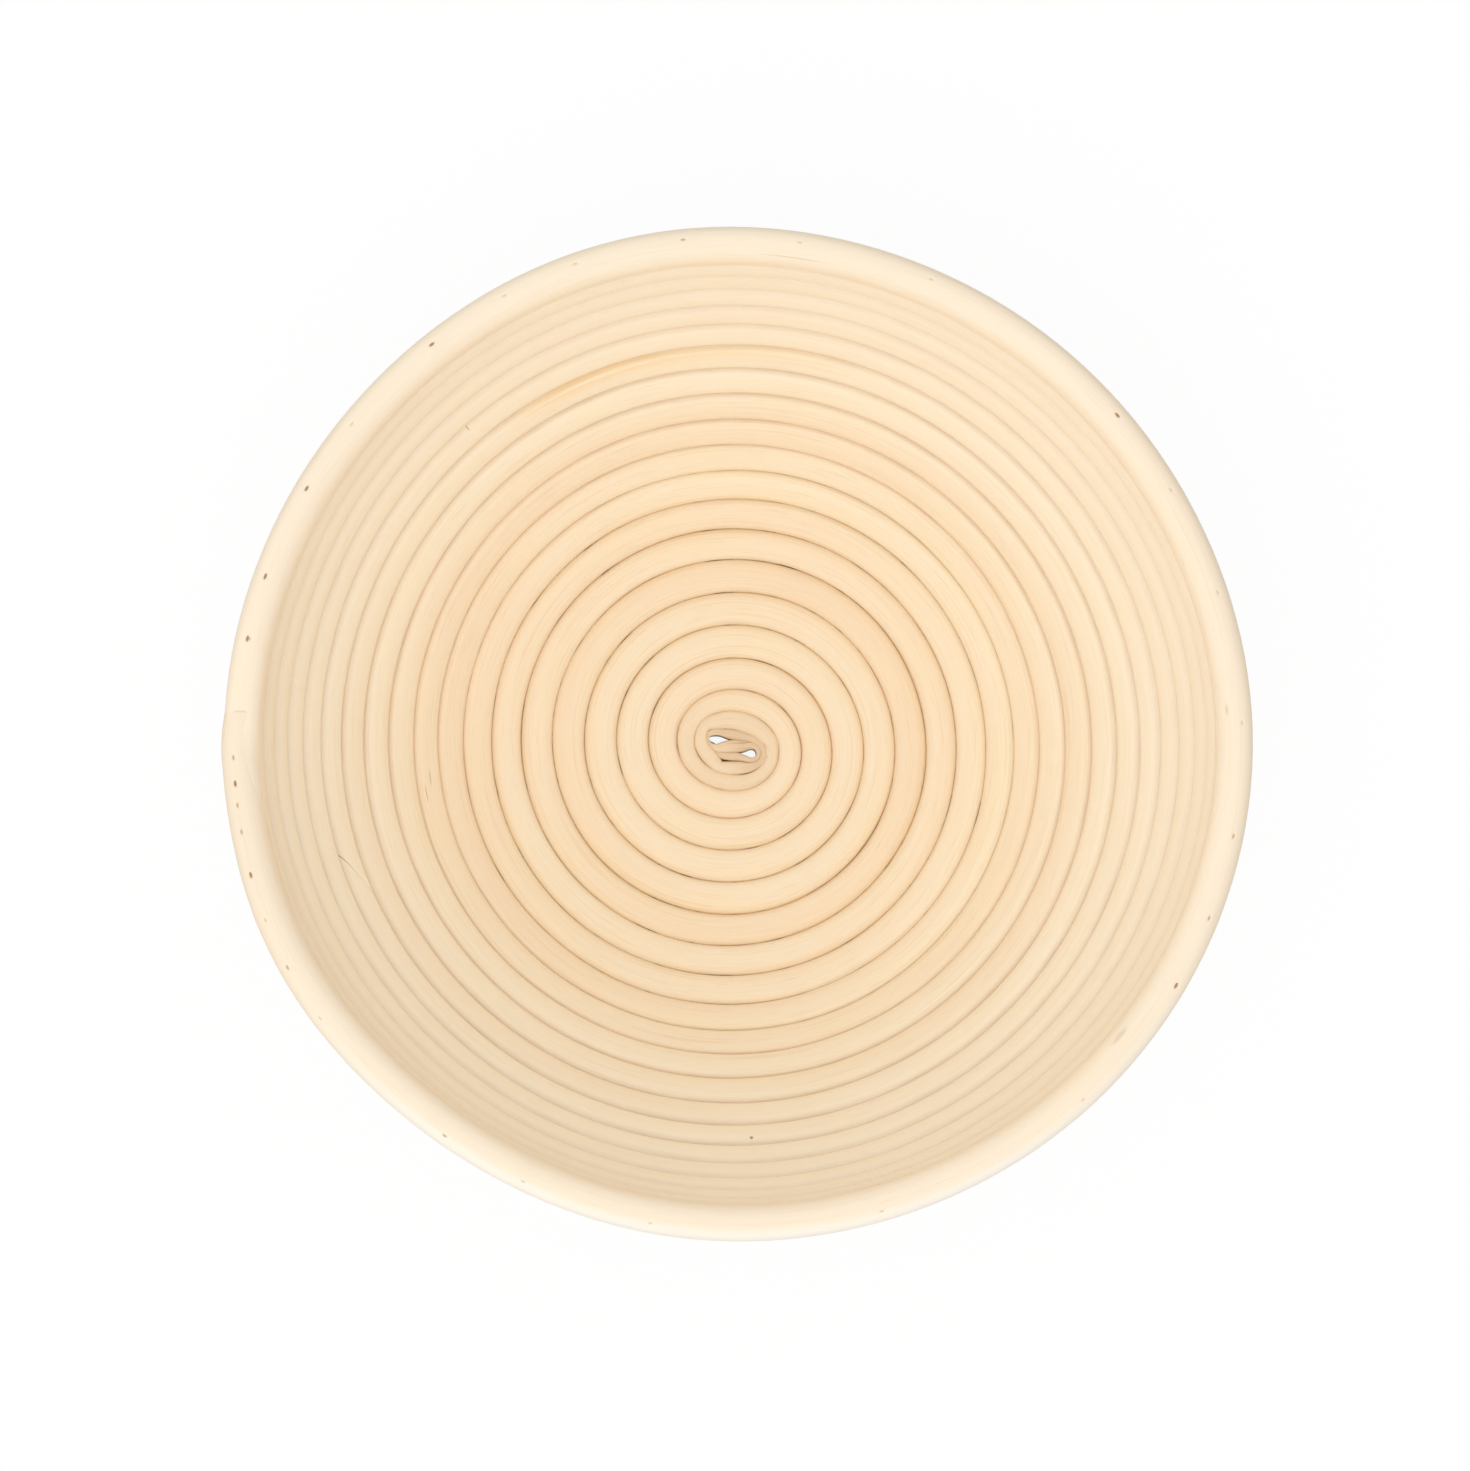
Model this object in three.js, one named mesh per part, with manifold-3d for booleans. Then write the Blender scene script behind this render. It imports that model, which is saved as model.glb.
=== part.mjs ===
// A round bread proofing basket, wound from two lengths of rattan cane and nailed turn to turn.
// Millimetres, +Z up. The origin is the middle of the footprint, on the surface it stands on.
// Seen from above the winding starts as a folded S in the middle and runs out clockwise.
// A turn number counts whole turns from there: whole numbers lie on the +X side.

import * as THREE from 'three';
import { mergeVertices } from 'three/addons/utils/BufferGeometryUtils.js';
import Module from 'manifold-3d';

// Cane
const CANE_WIDTH = 7.4; // across the two faces that meet the neighbouring turns
const TURN_GAP = 0.6; // clear space between one turn and the next
const STEPS_PER_TURN = 24;
const FOOT_SHARE = 0.1; // share of the cane's width that is flattened under the floor

// Bowl profile, followed along the middle of the cane from the centre to the rim
const FLOOR_RADIUS = 46.5; // flat floor, out to where the corner starts to rise
const CORNER_RADIUS = 42.5;
const WALL_SLOPE = 45.5; // degrees, where the corner ends
const WALL_STRAIGHT = 17; // straight stretch above the corner
const WALL_RADIUS = 78.5; // arc that steepens the wall up to the rim

// Start of the winding, where the cane is pared thin and folded into an S
const CORE_RADIUS = 6.3; // radius of the line between two turns where the paring ends
const CORE_OVAL = 1.7; // the first turns are this much longer along X and shorter along Y
const OVAL_FADE = 2.2; // turns over which the oval dies away
const PARED_PITCH = 1.5; // width and gap of one pared turn
const SPIRAL_START = 0.7; // turn at which the fold becomes a spiral
const PARED_END = 1.55; // turn from which the cane thickens
const FULL_FROM = 4.4; // turn from which the cane has its full width
const FOLD_STRAND = 1.0; // width of the pared strand in the fold
const FOLD_STEP = 0.9; // spacing of the sections along the fold
const FOLD_ROUTE = [ // middle of the strand, from its cut end to the first turn
  [-3.6, -2.4],
  [0, -2.75],
  [3.2, -2.9],
  [5.0, -2.65],
  [5.75, -1.55],
  [4.9, -0.4],
  [3.0, -0.1],
  [-3.0, -0.1],
  [-5.6, 0],
  [-6.8, 1.4],
  [-5.8, 2.9],
  [-3.8, 3.85],
];

// Splice between the two lengths, and the pared end of the rim
const SPLICE_TURN = 15.45;
const SPLICE_RUN = 6; // distance along the cane over which the slanted cut crosses it
const SPLICE_GAP = 0.5;
const LAST_TURN = 21.506;
const RIM_TAPER = 73; // length over which the last turn is pared down to its tip
const RIM_TIP = 1.2; // thickness left at the tip

// Hand-wound rim: how far it bulges out of round, growing with height from none at the floor
const RIM_LOBES = [
  { count: 2, swell: 0.95, at: 12 }, // at: degrees clockwise from +X
  { count: 3, swell: 0.55, at: 39 },
  { count: 4, swell: 0.35, at: 84 },
];

// T-headed brads
const NAIL_LENGTH = 13.5;
const NAIL_SHANK = 1.2;
const NAIL_THICKNESS = 1.0;
const NAIL_HEAD = 1.9;
const NAIL_HEAD_DEPTH = 0.8;
const NAIL_POINT = 1.6; // length of the chisel point
const NAIL_SINK = 0.4; // how far the head sits under the cane's surface
const NAIL_CLEARANCE = 0.3;
const RIM_NAIL_OUT = 1.2; // rim nails stand this far outside the middle of the cane
const RIM_NAIL_ANGLES = [ // degrees clockwise from +X, closer together along the pared end
  10.3, 20, 28.5, 45.4, 72.3, 99.8, 115.6, 126.3, 146.3, 153.3,
  159.3, 164.8, 169.9, 173, 175.5, 178.5, 192.3, 199.8, 211, 220.1,
  233.1, 243.1, 251.9, 264.4, 277.6, 293.1, 319.4, 329.8, 342.5, 357.5,
];
const COIL_NAILS = 26; // nails of the lower turns, each covered by the turn wound after it
const COIL_NAIL_FIRST = 4.4; // turn of the first one
const COIL_NAIL_STEP = 0.56; // turns from one to the next

// Colours
const CANE_COLOUR = 0xf3e0bd;
const NAIL_COLOUR = 0x8c857a;

// Sizes that follow from those above
const PITCH = CANE_WIDTH + TURN_GAP;
const CANE_REACH = CANE_WIDTH / Math.sqrt(3); // from the middle to the ridges inside and outside
const FLOOR_HEIGHT = CANE_REACH - CANE_WIDTH * FOOT_SHARE;
const TURN = 2 * Math.PI;
const STEP = 1 / STEPS_PER_TURN;
const SLOPE = THREE.MathUtils.degToRad(WALL_SLOPE);

const wasm = await Module();
wasm.setup();

// Stretches of the profile: each has a length and a bend, and starts where the last one ended
const STRETCHES = [
  { length: FLOOR_RADIUS, bend: 0 },
  { length: CORNER_RADIUS * SLOPE, bend: 1 / CORNER_RADIUS },
  { length: WALL_STRAIGHT, bend: 0 },
  { length: Infinity, bend: 1 / WALL_RADIUS },
];

// Radius, height and slope of the profile at a distance along it
function profile(along) {
  const at = { radius: 0, height: 0, slope: 0 };
  let left = along;
  for (const { length, bend } of STRETCHES) {
    const run = Math.min(left, length);
    const slope = at.slope + run * bend;
    if (bend === 0) {
      at.radius += run * Math.cos(slope);
      at.height += run * Math.sin(slope);
    } else {
      at.radius += (Math.sin(slope) - Math.sin(at.slope)) / bend;
      at.height += (Math.cos(at.slope) - Math.cos(slope)) / bend;
    }
    at.slope = slope;
    left -= run;
    if (left <= 0) {
      break;
    }
  }
  return at;
}

// Distance along the profile of the line between a turn and the one inside it
function innerLine(turn) {
  const thickening = FULL_FROM - PARED_END;
  const growing = THREE.MathUtils.clamp(turn - PARED_END, 0, thickening);
  const growth = (PITCH - PARED_PITCH) * growing ** 2 / (2 * thickening);
  const pared = PARED_PITCH * (Math.min(turn, FULL_FROM) - PARED_END);
  const full = PITCH * Math.max(0, turn - FULL_FROM);
  const oval = CORE_OVAL * Math.exp(-Math.max(0, turn - PARED_END) / OVAL_FADE);
  return CORE_RADIUS + pared + growth + full + oval * Math.cos(2 * TURN * turn);
}

const RIM_HEIGHT = profile(innerLine(LAST_TURN)).height;

// How far the rim is out of round at a turn number
function lobes(turn) {
  let swell = 0;
  for (const lobe of RIM_LOBES) {
    const from = TURN * turn - THREE.MathUtils.degToRad(lobe.at);
    swell += lobe.swell * Math.cos(lobe.count * from);
  }
  return swell;
}

// A point of the bowl: turn number, distance along the profile, and distance in from it
function bowlPoint(turn, along, inward) {
  const at = profile(along);
  const swell = lobes(turn) * at.height / RIM_HEIGHT;
  const radius = at.radius - inward * Math.sin(at.slope) + swell;
  const height = FLOOR_HEIGHT + at.height + inward * Math.cos(at.slope);
  return new THREE.Vector3(
    radius * Math.cos(TURN * turn),
    -radius * Math.sin(TURN * turn),
    height,
  );
}

// Length of one turn of cane, to change millimetres along it into turns
function turnLength(turn) {
  return TURN * profile(innerLine(turn)).radius;
}

// Lower and upper face of the cane on the profile, the upper one pared down near the tip
function faces(turn) {
  const lower = innerLine(turn) + TURN_GAP / 2;
  const whole = innerLine(turn + 1) - TURN_GAP - innerLine(turn);
  const fromTip = (LAST_TURN - turn) * turnLength(LAST_TURN);
  const share = Math.min(1, Math.max(0, fromTip) / RIM_TAPER);
  const tip = Math.min(RIM_TIP, whole);
  return { lower, upper: lower + tip + (whole - tip) * share };
}

// The six corners of the cane's section, as shares of half its width and of its reach
const CORNERS = [
  [-1, 0.5],
  [0, 1],
  [1, 0.5],
  [1, -0.5],
  [0, -1],
  [-1, -0.5],
];

// One section of the wound cane; slant turns its cut, in turns from the middle to a face
function caneRing(turn, slant = 0) {
  const { lower, upper } = faces(turn);
  const middle = (lower + upper) / 2;
  const half = (upper - lower) / 2;
  return CORNERS.map(([across, inward]) => bowlPoint(
    turn + slant * across,
    middle + across * half,
    inward * CANE_REACH,
  ));
}

// Sections of the winding between two turn numbers, on an even step, with cut ends
function woundRings(from, to, slantFrom = 0, slantTo = 0) {
  const rings = [caneRing(from, slantFrom)];
  const first = Math.ceil((from + Math.abs(slantFrom)) / STEP + 0.1);
  const last = Math.floor((to - Math.abs(slantTo)) / STEP - 0.1);
  for (let step = first; step <= last; step += 1) {
    rings.push(caneRing(step * STEP));
  }
  rings.push(caneRing(to, slantTo));
  return rings;
}

// Sections of the folded S, with the strand standing on edge
function foldRings() {
  const start = faces(SPIRAL_START);
  const startMiddle = (start.lower + start.upper) / 2;
  const route = FOLD_ROUTE.map(([x, y]) => new THREE.Vector3(x, y, FLOOR_HEIGHT));
  route.push(bowlPoint(SPIRAL_START, startMiddle, 0));
  const curve = new THREE.CatmullRomCurve3(route, false, 'centripetal');
  const count = Math.ceil(curve.getLength() / FOLD_STEP);
  const rings = [];
  for (let step = 0; step < count; step += 1) {
    const share = step / count;
    const middle = curve.getPointAt(share);
    const ahead = curve.getTangentAt(share);
    const side = new THREE.Vector3(-ahead.y, ahead.x, 0);
    const width = THREE.MathUtils.lerp(FOLD_STRAND, start.upper - start.lower, share);
    rings.push(CORNERS.map(([across, inward]) => middle.clone()
      .addScaledVector(side, across * width / 2)
      .setZ(FLOOR_HEIGHT + inward * CANE_REACH)));
  }
  return rings;
}

// One unbroken closed tube through a list of sections
function tubeGeometry(rings) {
  const sides = CORNERS.length;
  const last = (rings.length - 1) * sides;
  const index = [];
  for (let ring = 0; ring < rings.length - 1; ring += 1) {
    for (let side = 0; side < sides; side += 1) {
      const a = ring * sides + side;
      const b = ring * sides + (side + 1) % sides;
      index.push(a, b + sides, b, a, a + sides, b + sides);
    }
  }
  for (let side = 1; side < sides - 1; side += 1) {
    index.push(0, side, side + 1);
    index.push(last, last + side + 1, last + side);
  }
  const geometry = new THREE.BufferGeometry();
  const points = rings.flat().flatMap((point) => point.toArray());
  geometry.setAttribute('position', new THREE.Float32BufferAttribute(points, 3));
  geometry.setIndex(index);
  return geometry;
}

// Corners and face middles of a section, on which gaps are measured
function gapPoints(ring) {
  const middles = ring.map((point, side) => point.clone()
    .lerp(ring[(side + 1) % ring.length], 0.5));
  return [...ring, ...middles];
}

// Least gap of the winding to itself: sections nearer along the cane than this don't count
function leastGap(rings) {
  const apart = 2 * CANE_WIDTH;
  const along = [0];
  for (let ring = 1; ring < rings.length; ring += 1) {
    along.push(along[ring - 1] + rings[ring][0].distanceTo(rings[ring - 1][0]));
  }
  const clouds = rings.map(gapPoints);
  let least = Infinity;
  for (let one = 0; one < rings.length; one += 1) {
    for (let other = one + 1; other < rings.length; other += 1) {
      const near = clouds[one][0].distanceTo(clouds[other][0]) < 4 * PITCH;
      if (near && along[other] - along[one] > apart) {
        for (const point of clouds[one]) {
          for (const facing of clouds[other]) {
            least = Math.min(least, point.distanceTo(facing));
          }
        }
      }
    }
  }
  return least;
}

// A closed geometry as a solid that can be cut, and back again
function toSolid(geometry) {
  const bare = geometry.clone();
  bare.deleteAttribute('normal');
  bare.deleteAttribute('uv');
  const merged = mergeVertices(bare, 1e-4);
  return new wasm.Manifold(new wasm.Mesh({
    numProp: 3,
    vertProperties: new Float32Array(merged.attributes.position.array),
    triVerts: new Uint32Array(merged.index.array),
  }));
}

function toGeometry(solid) {
  const mesh = solid.getMesh();
  const geometry = new THREE.BufferGeometry();
  geometry.setAttribute('position', new THREE.BufferAttribute(mesh.vertProperties, 3));
  geometry.setIndex(new THREE.BufferAttribute(mesh.triVerts, 1));
  geometry.computeVertexNormals();
  return geometry;
}

// A nail, point at the origin and head up +Y, its T in the XY plane
function nailGeometry() {
  const shank = NAIL_SHANK / 2;
  const head = NAIL_HEAD / 2;
  const shoulder = NAIL_LENGTH - NAIL_HEAD_DEPTH;
  const outline = new THREE.Shape([
    new THREE.Vector2(0, 0),
    new THREE.Vector2(shank, NAIL_POINT),
    new THREE.Vector2(shank, shoulder),
    new THREE.Vector2(head, shoulder),
    new THREE.Vector2(head, NAIL_LENGTH),
    new THREE.Vector2(-head, NAIL_LENGTH),
    new THREE.Vector2(-head, shoulder),
    new THREE.Vector2(-shank, shoulder),
    new THREE.Vector2(-shank, NAIL_POINT),
  ]);
  const geometry = new THREE.ExtrudeGeometry(outline, { depth: NAIL_THICKNESS, bevelEnabled: false });
  return geometry.translate(0, 0, -NAIL_THICKNESS / 2);
}

// The slot that a nail sits in, as wide as its head and open above it
function slotGeometry() {
  const above = NAIL_SINK + TURN_GAP / 2;
  const length = NAIL_CLEARANCE + NAIL_LENGTH + above;
  const width = NAIL_HEAD + 2 * NAIL_CLEARANCE;
  const thickness = NAIL_THICKNESS + 2 * NAIL_CLEARANCE;
  return new THREE.BoxGeometry(width, length, thickness)
    .translate(0, length / 2 - NAIL_CLEARANCE, 0);
}

// A point on the faceted cane: straight between the two nearest sections
function canePoint(turn, along, inward) {
  const step = Math.floor(turn / STEP) * STEP;
  const drift = innerLine(turn) - along;
  const before = bowlPoint(step, innerLine(step) - drift, inward);
  const after = bowlPoint(step + STEP, innerLine(step + STEP) - drift, inward);
  return before.lerp(after, (turn - step) / STEP);
}

// Place of a nail driven down the profile through a turn and on into the one below it
function nailPlace(turn, inward) {
  const { lower, upper } = faces(turn);
  const top = canePoint(turn, upper, inward);
  const up = top.clone().sub(canePoint(turn, lower, inward)).normalize();
  const ahead = canePoint(turn + STEP / 2, upper, inward).sub(canePoint(turn - STEP / 2, upper, inward));
  const across = ahead.clone().cross(up).normalize();
  const along = up.clone().cross(across);
  const place = new THREE.Matrix4().makeBasis(along, up, across);
  place.setPosition(top.addScaledVector(up, -NAIL_SINK - NAIL_LENGTH));
  return place;
}

// Turn number of the rim at an angle clockwise from +X
function rimTurn(degrees) {
  const turn = Math.floor(LAST_TURN) + degrees / 360;
  return turn < LAST_TURN ? turn : turn - 1;
}

const caneMaterial = new THREE.MeshStandardMaterial({
  color: CANE_COLOUR,
  roughness: 0.75,
  metalness: 0,
});
const nailMaterial = new THREE.MeshStandardMaterial({
  color: NAIL_COLOUR,
  roughness: 0.45,
  metalness: 0.9,
});

const basket = new THREE.Group();

// Nails, and the slots that they make in the cane
const nailForm = nailGeometry();
const slotForm = slotGeometry();
const slots = [];

function addNail(name, turn, inward) {
  const place = nailPlace(turn, inward);
  const nail = new THREE.Mesh(nailForm, nailMaterial);
  nail.name = name;
  nail.position.setFromMatrixPosition(place);
  nail.quaternion.setFromRotationMatrix(place);
  basket.add(nail);
  slots.push(toSolid(slotForm.clone().applyMatrix4(place)));
}

function numbered(name, number) {
  return `${name}_${String(number).padStart(2, '0')}`;
}

RIM_NAIL_ANGLES.forEach((degrees, place) => {
  addNail(numbered('rim_nail', place + 1), rimTurn(degrees), -RIM_NAIL_OUT);
});
for (let place = 0; place < COIL_NAILS; place += 1) {
  addNail(numbered('coil_nail', place + 1), COIL_NAIL_FIRST + place * COIL_NAIL_STEP, 0);
}

// The two lengths of cane, cut at a slant where they meet
const spliceSlant = SPLICE_RUN / 2 / turnLength(SPLICE_TURN);
const spliceOpening = SPLICE_GAP / 2 / turnLength(SPLICE_TURN);
const fold = foldRings();
const baseRings = [
  ...fold,
  ...woundRings(SPIRAL_START, SPLICE_TURN - spliceOpening, 0, spliceSlant),
];
const rimRings = woundRings(SPLICE_TURN + spliceOpening, LAST_TURN, spliceSlant, 0);

console.log(`least gap between turns: ${leastGap([...baseRings, ...rimRings]).toFixed(2)} mm`);

// Everything below the surface that the basket stands on is cut away, which flattens the floor
const groundSize = 4 * profile(innerLine(LAST_TURN)).radius;
const ground = toSolid(new THREE.BoxGeometry(groundSize, groundSize, groundSize)
  .translate(0, 0, -groundSize / 2));

function addCane(name, rings) {
  let solid = toSolid(tubeGeometry(rings)).subtract(ground);
  for (const slot of slots) {
    solid = solid.subtract(slot);
  }
  const cane = new THREE.Mesh(toGeometry(solid), caneMaterial);
  cane.name = name;
  basket.add(cane);
}

addCane('base_cane', baseRings);
addCane('rim_cane', rimRings);

export default basket;
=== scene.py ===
# A round bread proofing basket, wound from two lengths of rattan cane, seen from straight above on white.
# Dimensions are in millimetres and degrees, and become metres when a mesh is made.
# A turn number counts turns of the winding: whole numbers lie on the +X side, and it runs clockwise.

import math

import bmesh
import bpy
import numpy as np
from mathutils import Matrix, Vector


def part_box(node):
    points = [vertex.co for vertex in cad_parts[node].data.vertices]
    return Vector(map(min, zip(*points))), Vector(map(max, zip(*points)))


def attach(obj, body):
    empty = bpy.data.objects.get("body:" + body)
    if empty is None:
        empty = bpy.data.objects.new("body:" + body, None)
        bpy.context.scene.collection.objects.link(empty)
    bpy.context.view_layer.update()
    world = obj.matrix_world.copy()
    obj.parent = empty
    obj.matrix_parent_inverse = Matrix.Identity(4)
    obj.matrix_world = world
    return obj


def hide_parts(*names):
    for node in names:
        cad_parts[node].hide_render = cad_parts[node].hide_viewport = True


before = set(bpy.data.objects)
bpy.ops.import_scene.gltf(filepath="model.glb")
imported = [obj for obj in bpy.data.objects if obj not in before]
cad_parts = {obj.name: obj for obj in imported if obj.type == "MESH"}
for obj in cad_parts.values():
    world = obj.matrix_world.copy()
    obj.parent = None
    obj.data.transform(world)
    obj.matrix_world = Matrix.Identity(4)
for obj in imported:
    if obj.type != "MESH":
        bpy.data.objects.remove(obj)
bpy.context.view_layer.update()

MM = 0.001
TURN = 2 * math.pi

# Bowl profile, followed along the middle of the cane from the centre to the rim
FLOOR_RADIUS = 46.5
CORNER_RADIUS = 42.5
WALL_SLOPE = 45.5
WALL_STRAIGHT = 17
WALL_RADIUS = 78.5
FLOOR_HEIGHT = 3.53
PAST_RIM = 1e6

# Stretches of that profile: length and bend
STRETCHES = [
    (FLOOR_RADIUS, 0),
    (CORNER_RADIUS * math.radians(WALL_SLOPE), 1 / CORNER_RADIUS),
    (WALL_STRAIGHT, 0),
    (PAST_RIM, 1 / WALL_RADIUS),
]

# How far the bowl is out of round: lobes, size and angle of the widest place
RIM_LOBES = [(2, 0.95, 12), (3, 0.55, 39), (4, 0.35, 84)]
WALL_LOBES = [(1, 0.9, 33), (3, 0.5, -4)]
EDGE_LOBES = [(1, 0.26, 176), (5, 0.22, 26), (7, 0.12, 0)]
EDGE_CLOSENESS = 6

# Cane, and how far its turns press into each other: the overlap grows between two turn numbers
PITCH = 8
CANE_REACH = 4.15
SQUARENESS = 2.9
RIM_SQUARENESS = 2.25
CAP_HEIGHT = 1.02
OVERLAP = 0.16
RIM_OVERLAP = 0.6
OVERLAP_TURNS = (8, 19)
UNEVENNESS = 0.15
UNEVEN_WAVES = (6, 13, 29)
LENGTH_STEPS = 4000
STEPS_PER_TURN = 170
SIDES = 32
END_BEVEL = 0.1
END_LEAST = 0.2

# Degrees over which the upper face becomes bare, unpressed and uncovered, one turn before the tip
BARE_BLEND = 18
PRESS_BLEND = 12
COVER_BLEND = 6

# First turns, where the pared cane thickens
CORE_RADIUS = 7.27
CORE_OVAL = 1.22
OVAL_FADE = 3.8
OVAL_AT = 17.8
PARED_PITCH = 0.46
PARED_END = 1.71
FULL_FROM = 4.158
SPIRAL_START = 2.05
JOIN_STEP = 0.03
CORE_SHIFT = (0.36, -0.55)
CORE_REACH = 48

# Splice, a slanted joint with a dark line over most of the cane's width
SPLICE_TURN = 15.444
SPLICE_RUN = 14
SPLICE_LINE = 0.4
SPLICE_DARK = 0.7
SPLICE_FROM = -0.4
SLANT_RUN = 20

# Pared end of the rim
LAST_TURN = 21.506
RIM_TAPER = 73
RIM_TIP = 0.06
TIP_RUN = 36
TIP_ROUND = 8
TIP_OUT = 1.2
TIP_NARROW = 0.8

# Rim nails, T-headed brads that lean along the rim; head out: turn, and distance from the middle of the cane
RIM_NAILS = 30
NAIL_LENGTH = 13.5
NAIL_SHANK = 1.2
NAIL_THICKNESS = 1.0
NAIL_HEAD = 1.9
NAIL_HEAD_DEPTH = 0.8
NAIL_POINT = 1.6
NAIL_SINK = 0.45
NAIL_BEVEL = 0.12
BEVEL_STEPS = 2
BEVEL_ROUND = 0.5
NAIL_OUT = 1.2
HEAD_SHIFT = 1.83
HEAD_SHIFT_AT = 22
HEAD_OUT = [(20.5, 0.6), (21.4, 2.0), (21.5, 0.6)]

# Pits over the nail heads, and the closer steps of the mesh around them
PIT_LENGTH = 1.25
PIT_WIDTH = 0.55
PIT_DEPTH = 0.4
PIT_BRIM = 1.6
PIT_STEPS = (-1.6, -1.2, -0.95, -0.7, -0.45, -0.2, 0, 0.2, 0.45, 0.7, 0.95, 1.2, 1.6)
PIT_SIDES = np.arange(0.2, 2.5, 0.2)
PIT_CLEAR = 0.4
TIP_CLEAR = 0.002
DARK_NAILS = {3, 12, 15, 17, 18, 19, 21, 27}
CLEAR_NAILS = {1, 2, 8, 10, 13, 14, 16, 24}
DARK_PIT = 1.0
CLEAR_PIT = 0.57
FAINT_PIT = 0.4

# Folded start of the cane: middle of the strand and its width, from the cut end outwards
FOLD_ROUTE = [
    (-5.0, -1.95, 1.2),
    (-3.6, -2.15, 1.35),
    (-1.3, -2.5, 1.7),
    (1.0, -2.6, 1.9),
    (2.8, -3.05, 1.45),
    (4.6, -3.55, 1.1),
    (6.1, -2.95, 1.1),
    (6.5, -1.7, 1.1),
    (5.9, -0.4, 1.2),
    (4.5, 0.2, 1.6),
    (2.5, 0.05, 2.6),
    (0, 0, 3.15),
    (-2.4, -0.25, 2.55),
    (-4.2, -0.45, 1.8),
    (-5.85, 0.5, 0.85),
    (-6.35, 1.75, 0.75),
    (-6.1, 2.85, 0.95),
    (-5.0, 3.5, 1.4),
    (-3.1, 3.55, 1.6),
    (-1.3, 3.25, 2.3),
    (0.3, 2.95, 2.5),
    (2.4, 2.5, 2.15),
    (4.6, 1.9, 1.55),
    (6.7, 0.6, 1.35),
    (7.85, -1.5, 1.5),
    (7.4, -3.4, 1.5),
    (5.9, -4.7, 1.7),
    (4.0, -5.3, 2.2),
    (1.5, -5.45, 3.0),
    (-0.8, -5.5, 3.0),
    (-2.4, -5.35, 2.6),
    (-3.4, -5.2, 2.5),
    (-4.35, -4.35, 3.1),
    (-5.6, -2.9, 3.6),
    (-6.7, -1.57, 3.5),
    (-7.75, 0.25, 3.25),
    (-8.0, 2.05, 2.85),
    (-7.6, 3.95, 2.5),
    (-6.5, 5.4, 2.8),
    (-4.5, 6.1, 3.6),
    (-2.0, 6.55, 4.2),
    (0.5, 6.5, 4.5),
    (3.3, 5.8, 4.7),
    (5.95, 4.5, 4.3),
    (8.15, 2.6, 3.8),
    (9.6, 0.5, 3.2),
]
FOLD_STEP = 0.35
FOLD_PARTS = 20
FOLD_TURNS = 2

# The fold lies lower at its start and has a wider foot further out; places are shares of its length
FOLD_DROP = 1.1
FOLD_DROP_TO = 0.62
FOLD_DROP_BLEND = 0.2
FOLD_FOOT = 0.7
FOLD_FOOT_FROM = 0.42
FOLD_FOOT_BELOW = -CANE_REACH / 4
WEDGE_FOOT = 0.8
WEDGE_FROM = 0.5
WEDGE_TO = 0.72
WEDGE_BELOW = CANE_REACH / 2
FOOT_BLEND = 0.03

# How far the darker tone of the core reaches along the fold, where it is paler, and into the first turns;
# this tone is partly the core's own browner colour and partly painted shade of its recessed strands
CORE_TONE = 0.4
CORE_TONE_TO = 0.62
CORE_TONE_BLEND = 0.1
PALE_FOLD = 0.4
PALE_FOLD_AT = 0.27
PALE_FOLD_REACH = 0.08
PALE_FOLD_BLEND = 0.05
CORE_LAST_TURN = 2.9
CORE_LAST_BLEND = 0.6

# Small brown marks: turn, place across the cane, length, width and strength
WALL_MARKS = [
    (15.2433, 1.94, 0.9, 0.9, 0.8),
    (15.6365, 2.85, 0.4, 1.5, 0.5),
    (11.4814, 0.5, 4.5, 0.3, 0.45),
    (11.4733, 2.1, 5, 0.3, 0.45),
]
RIM_MARKS = [
    (20.769, 2.6, 17, 0.35, 0.2),
    (20.9934, 1.9, 3, 0.8, 0.2),
    (21.1078, 2.35, 6, 1.2, 0.2),
]
MARK_FADE = (1.2, 0.4)
FACE_SPAN = (0.5, 1.5)

# Grain of the cane: waves per millimetre across it and along it, detail and roughness
GRAIN = {
    "fibre": (2.4, 0.025, 4.0, 0.6),
    "pores": (6.5, 0.11, 2.0, 0.5),
    "tone": (0.06, 0.004, 2.0, 0.5),
    "patch": (0.2, 0.03, 2.0, 0.5),
    "streak": (3.5, 0.05, 2.0, 0.5),
    "blotch": (1.1, 0.02, 3.0, 0.5),
    # The next two are not grain: they make the painted shade where turns meet patchy.
    "line_patchiness": (0.0, 0.06, 3.0, 0.5),
    "dirt": (0.0, 0.11, 4.0, 0.5),
}
PORE_SPAN = (0.6, 0.72)
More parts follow.
